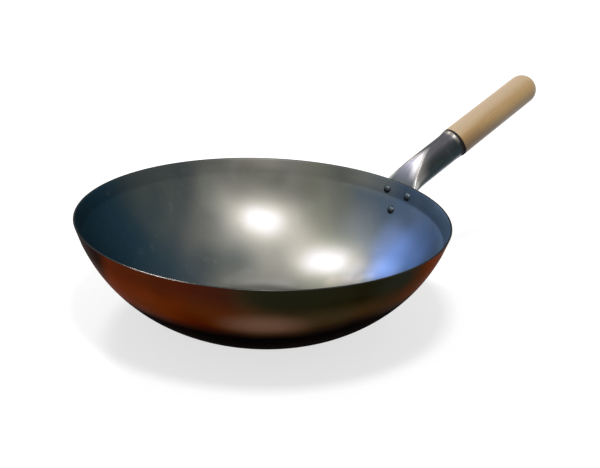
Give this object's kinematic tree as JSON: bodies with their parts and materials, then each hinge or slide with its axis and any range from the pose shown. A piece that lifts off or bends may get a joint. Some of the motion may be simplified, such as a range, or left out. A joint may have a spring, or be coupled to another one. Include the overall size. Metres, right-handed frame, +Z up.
{
  "type": "wok",
  "caption": "Round wok with a flat base, a pressed steel handle socket riveted to its wall and a turned wooden grip.",
  "frame": {"origin": "centre of the flat base's underside, on the surface that the wok stands on", "axes": "+Z up along the bowl's axis, +X towards the handle"},
  "size_m": [0.5429, 0.3556, 0.1983],
  "materials": {
    "bowl_steel": "satin spun carbon steel, heat-tinted red-brown outside",
    "socket_steel": "satin pressed sheet steel",
    "rivet_steel": "satin, domed heads",
    "grip_wood": "turned pale hardwood, sanded, thin clear finish",
    "nail_steel": "plain wire nail"
  },
  "bodies": {
    "root": {"wok_bowl": "bowl_steel", "handle_socket": "socket_steel", "rivet_left": "rivet_steel", "rivet_right": "rivet_steel", "rivet_lower": "rivet_steel", "wooden_grip": "grip_wood", "grip_nail": "nail_steel"}
  },
  "joints": []
}
